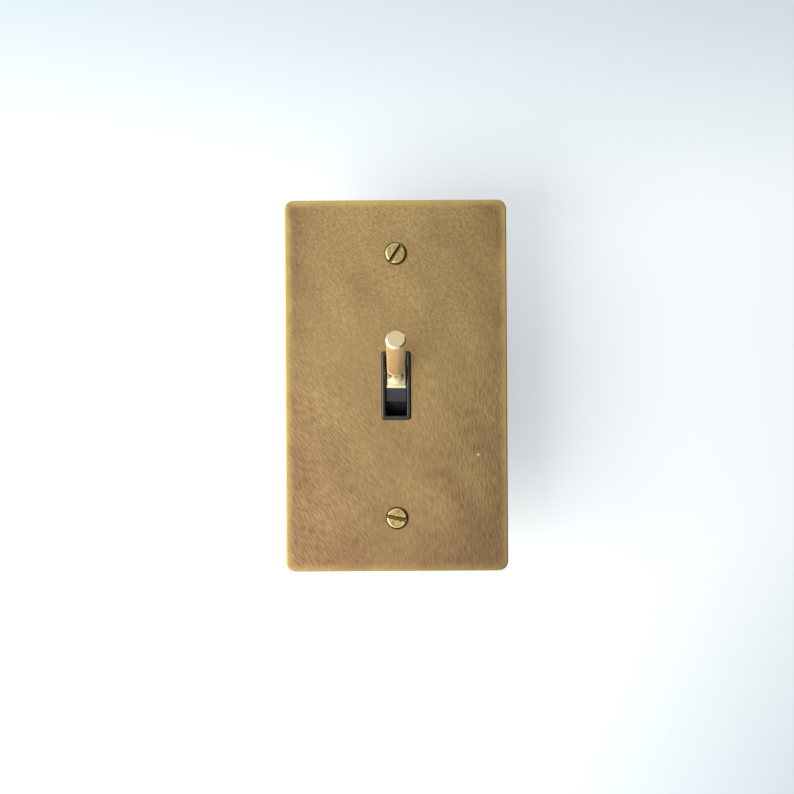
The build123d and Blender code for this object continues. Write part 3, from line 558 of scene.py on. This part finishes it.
# %% [markdown]
# ## Black mouldings
# The collar is an injection-moulded black plastic with a fine spark-eroded grain, and the drum
# that carries the lever is polished in the mould, so it is glossier. The housing behind is a
# pressed thermoset, duller and a touch brown, with flow clouds. One loop makes the three from
# their own colours, gloss and grain size.

# %% Mouldings
PLASTIC_IOR = 1.54
FLOW_SIZE = 7 * MM

# node: finish, its two tones, roughness from and to, grain in mm, relief in mm
MOULDINGS = {
    "collar_cover": ("black_plastic_grained", "1A1918", "262422", 0.16, 0.26, 0.22, 0.004),
    "toggle_drum": ("black_plastic_polished", "202024", "2A2A2E", 0.10, 0.20, 0.60, 0.003),
    "housing": ("black_thermoset_pressed", "26221F", "35302C", 0.46, 0.62, 0.35, 0.012),
}
for name, (finish, dark, light, smooth, rough, grain_size, depth) in MOULDINGS.items():
    moulding, tree, shader, place = start_finish(finish, 0.0, smooth)
    shader.inputs["IOR"].default_value = PLASTIC_IOR
    flow = add(tree, "TexNoise", {"Vector": place, "Scale": 1 / FLOW_SIZE, "Detail": 4.0})
    flowed = add(tree, "MapRange", {"Value": flow.outputs[0], "From Min": 0.35, "From Max": 0.65})
    tone = blend(tree, flowed.outputs[0], linear(dark), linear(light))
    tree.links.new(tone.outputs[2], shader.inputs["Base Color"])
    gloss = add(tree, "MapRange", {"Value": flow.outputs[0], "To Min": smooth, "To Max": rough})
    tree.links.new(gloss.outputs[0], shader.inputs["Roughness"])
    grain = add(tree, "TexNoise", {"Vector": place, "Scale": 1 / (grain_size * MM), "Detail": 2.0})
    emboss(tree, shader, grain.outputs[0], depth)
    dress(moulding, name)

# %% [markdown]
# ## Metals behind the plate
# Strap, washers, rivets and clamps are zinc-plated steel, whose crystals give a faint grey
# cloud; pin and spring are bright drawn steel; studs, nuts, terminals and rocker are plain
# rolled brass; the contacts are silver. They differ in colour, gloss and the length of their
# rolling marks, so one loop makes them all.

# %% Hidden metals
ROLLED_DEPTH = 0.006

# finish: nodes, its two tones, roughness from and to, marks in mm
METALS = {
    "zinc_plated_steel": (("mounting_strap", "stud_washers", "strap_rivets", "clamp_plates"),
                          "B4B8BC", "D2D5D6", 0.30, 0.46, (0.5, 0.5, 2.5)),
    "bright_drawn_steel": (("pivot_pin", "plunger_spring"),
                           "ADADAC", "C6C6C4", 0.18, 0.30, (0.8, 0.2, 0.2)),
    "plain_brass": (("plate_studs", "stud_nuts", "terminal_screws"),
                    "B99A58", "D3B672", 0.26, 0.40, (0.4, 1.2, 0.4)),
    "rolled_brass_strip": (("contact_rocker", "load_terminal", "common_terminal"),
                           "BE9C58", "D6B871", 0.28, 0.42, (0.3, 0.3, 3.0)),
    "silver_contact_metal": (("moving_contact", "fixed_contact"),
                             "DAD8D2", "EDEBE6", 0.18, 0.32, (0.6, 0.6, 0.6)),
}
for finish, (names, dark, light, smooth, rough, size) in METALS.items():
    metal, tree, shader, place = start_finish(finish, 1.0, smooth)
    rolled = add(tree, "Mapping", {"Vector": place, "Scale": mm(*size)}, vector_type="TEXTURE")
    marks = add(tree, "TexNoise", {"Vector": rolled.outputs[0], "Scale": 1.0, "Detail": 4.0,
                                   "Roughness": 0.6})
    marked = add(tree, "MapRange", {"Value": marks.outputs[0], "From Min": 0.3, "From Max": 0.7})
    tone = blend(tree, marked.outputs[0], linear(dark), linear(light))
    tree.links.new(tone.outputs[2], shader.inputs["Base Color"])
    gloss = add(tree, "MapRange", {"Value": marks.outputs[0], "To Min": rough, "To Max": smooth})
    tree.links.new(gloss.outputs[0], shader.inputs["Roughness"])
    emboss(tree, shader, marks.outputs[0], ROLLED_DEPTH)
    dress(metal, *names)

# %% [markdown]
# ## Fibre, nylon and green lacquer
# The retainers on the screws are red-brown vulcanised fibre, a pressed paper with flecks; the
# plunger is natural nylon, milky and waxy; the earth screw is dipped in green lacquer so that it
# can't be taken for another. All three are plain dielectrics with a speckle of their own.

# %% Fibre, nylon, lacquer
# finish: node, its two tones, roughness, flecks in mm, relief in mm, IOR
COATS = {
    "vulcanised_fibre": ("screw_retainers", "6A2F1E", "8A4630", 0.62, 0.45, 0.02, 1.5),
    "natural_nylon": ("plunger", "D9D5C6", "E6E3D8", 0.42, 1.2, 0.006, 1.53),
    "green_lacquer": ("earth_screw", "1E6B3A", "2C8149", 0.22, 0.9, 0.008, 1.5),
}
for finish, (name, dark, light, rough, size, depth, ior) in COATS.items():
    coat, tree, shader, place = start_finish(finish, 0.0, rough)
    shader.inputs["IOR"].default_value = ior
    fleck = add(tree, "TexNoise", {"Vector": place, "Scale": 1 / (size * MM), "Detail": 3.0})
    flecked = add(tree, "MapRange", {"Value": fleck.outputs[0], "From Min": 0.35, "From Max": 0.65})
    tone = blend(tree, flecked.outputs[0], linear(dark), linear(light))
    tree.links.new(tone.outputs[2], shader.inputs["Base Color"])
    emboss(tree, shader, fleck.outputs[0], depth)
    dress(coat, name)
